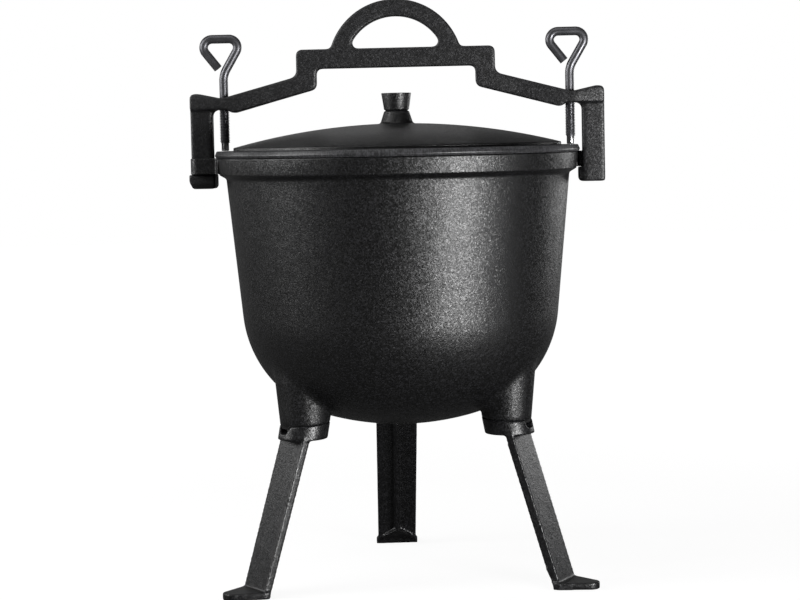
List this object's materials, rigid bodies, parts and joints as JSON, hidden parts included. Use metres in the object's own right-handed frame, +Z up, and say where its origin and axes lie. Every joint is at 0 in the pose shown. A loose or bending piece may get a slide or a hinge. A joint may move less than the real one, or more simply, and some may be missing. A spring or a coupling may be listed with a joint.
{
  "type": "cauldron",
  "caption": "Lidded cast iron cauldron on bolted splayed legs, with a clamp yoke that carries a D handle, hooks under the lugs and presses the lid down by eye screws.",
  "frame": {"origin": "on the pot's axis at the floor, in the middle between the feet", "axes": "+Z up along the pot's axis, X along the clamp yoke's bar in its locked place, -Y to the front; the rear leg stands near +Y"},
  "size_m": [0.332, 0.3137, 0.4644],
  "materials": {
    "bowl_iron": "satin black sand-cast",
    "lid_iron": "satin black sand-cast, turned edge",
    "knob_iron": "satin black, turned",
    "yoke_iron": "satin black sand-cast",
    "leg_iron": "satin black sand-cast",
    "screw_wire": "dark drawn wire, bare tips",
    "bolt_steel": "plain"
  },
  "bodies": {
    "pot": {"cauldron_bowl": "bowl_iron", "lid": "lid_iron", "lid_knob": "knob_iron", "knob_screw": "bolt_steel", "leg_left": "leg_iron", "leg_right": "leg_iron", "leg_rear": "leg_iron", "leg_bolt_left": "bolt_steel", "leg_bolt_right": "bolt_steel", "leg_bolt_rear": "bolt_steel", "leg_washer_left": "bolt_steel", "leg_washer_right": "bolt_steel", "leg_washer_rear": "bolt_steel"},
    "yoke": {"clamp_yoke": "yoke_iron"},
    "screw_left": {"clamp_screw_left": "screw_wire"},
    "screw_right": {"clamp_screw_right": "screw_wire"}
  },
  "joints": [
    {"name": "yoke_turn", "type": "hinge", "parent": "pot", "child": "yoke", "pos_m": [0, 0, 0.3405], "axis": [0, 0, 1], "range_deg": [-167, 0]},
    {"name": "screw_left_turn", "type": "hinge", "parent": "yoke", "child": "screw_left", "pos_m": [-0.1387, 0, 0.3835], "axis": [0, 0, 1], "continuous": true},
    {"name": "screw_right_turn", "type": "hinge", "parent": "yoke", "child": "screw_right", "pos_m": [0.1387, 0, 0.3835], "axis": [0, 0, 1], "continuous": true}
  ]
}
